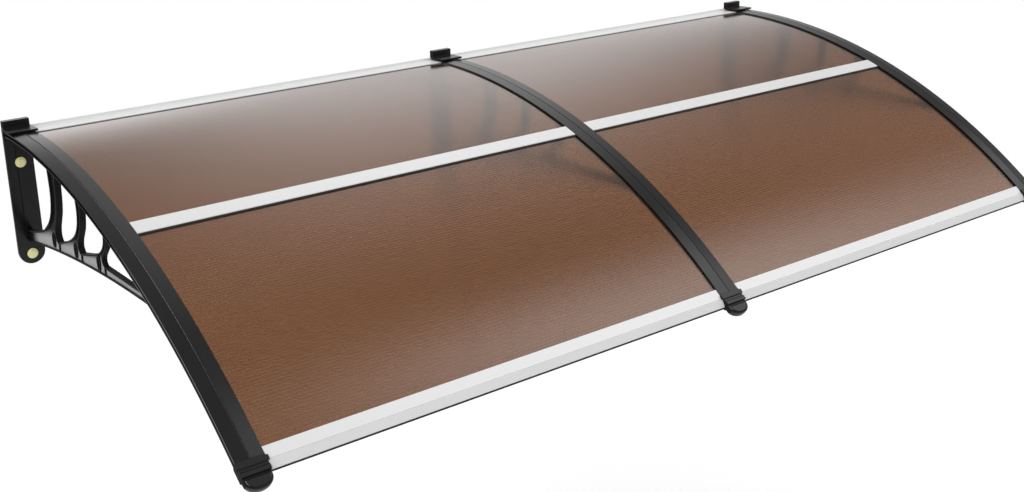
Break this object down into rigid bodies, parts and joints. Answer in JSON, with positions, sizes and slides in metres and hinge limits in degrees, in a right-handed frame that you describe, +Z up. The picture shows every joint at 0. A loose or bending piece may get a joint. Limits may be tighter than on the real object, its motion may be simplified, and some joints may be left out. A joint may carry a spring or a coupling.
{
  "type": "door canopy",
  "caption": "Shallow arched door canopy: fluted brown polycarbonate sheets between black moulded wall brackets, with aluminium bars along wall, middle and front edge.",
  "frame": {"origin": "on the wall, in the back face of the middle bracket's wall plate, midway between its two bolts", "axes": "+X along the wall to the right as seen from in front, +Y into the wall, +Z up, so the canopy reaches out in -Y"},
  "size_m": [2.004, 1.0298, 0.3432],
  "materials": {
    "bracket_plastic": "black moulded plastic, satin",
    "trim_plastic": "black moulded plastic, satin",
    "sheet": "brown translucent fluted polycarbonate, glossy",
    "bar_aluminium": "satin anodised",
    "seal_rubber": "black, matt",
    "zinc_plate": "yellow zinc plated"
  },
  "bodies": {
    "root": {"bracket_left": "bracket_plastic", "rear_cover_left": "trim_plastic", "wall_bolt_left_upper": "zinc_plate", "wall_washer_left_upper": "zinc_plate", "anchor_sleeve_left_upper": "zinc_plate", "anchor_cone_left_upper": "zinc_plate", "wall_bolt_left_lower": "zinc_plate", "wall_washer_left_lower": "zinc_plate", "anchor_sleeve_left_lower": "zinc_plate", "anchor_cone_left_lower": "zinc_plate", "front_cap_left": "trim_plastic", "cap_screw_left": "zinc_plate", "bracket_middle": "bracket_plastic", "rear_cover_middle": "trim_plastic", "wall_bolt_middle_upper": "zinc_plate", "wall_washer_middle_upper": "zinc_plate", "anchor_sleeve_middle_upper": "zinc_plate", "anchor_cone_middle_upper": "zinc_plate", "wall_bolt_middle_lower": "zinc_plate", "wall_washer_middle_lower": "zinc_plate", "anchor_sleeve_middle_lower": "zinc_plate", "anchor_cone_middle_lower": "zinc_plate", "front_cap_middle": "trim_plastic", "cap_screw_middle": "zinc_plate", "bracket_right": "bracket_plastic", "rear_cover_right": "trim_plastic", "wall_bolt_right_upper": "zinc_plate", "wall_washer_right_upper": "zinc_plate", "anchor_sleeve_right_upper": "zinc_plate", "anchor_cone_right_upper": "zinc_plate", "wall_bolt_right_lower": "zinc_plate", "wall_washer_right_lower": "zinc_plate", "anchor_sleeve_right_lower": "zinc_plate", "anchor_cone_right_lower": "zinc_plate", "front_cap_right": "trim_plastic", "cap_screw_right": "zinc_plate", "rear_sheet_left": "sheet", "front_sheet_left": "sheet", "rear_bar_left": "bar_aluminium", "middle_bar_left": "bar_aluminium", "front_bar_left": "bar_aluminium", "rear_seal_left": "seal_rubber", "middle_seal_left": "seal_rubber", "front_seal_left": "seal_rubber", "rear_sheet_right": "sheet", "front_sheet_right": "sheet", "rear_bar_right": "bar_aluminium", "middle_bar_right": "bar_aluminium", "front_bar_right": "bar_aluminium", "rear_seal_right": "seal_rubber", "middle_seal_right": "seal_rubber", "front_seal_right": "seal_rubber"}
  },
  "joints": []
}
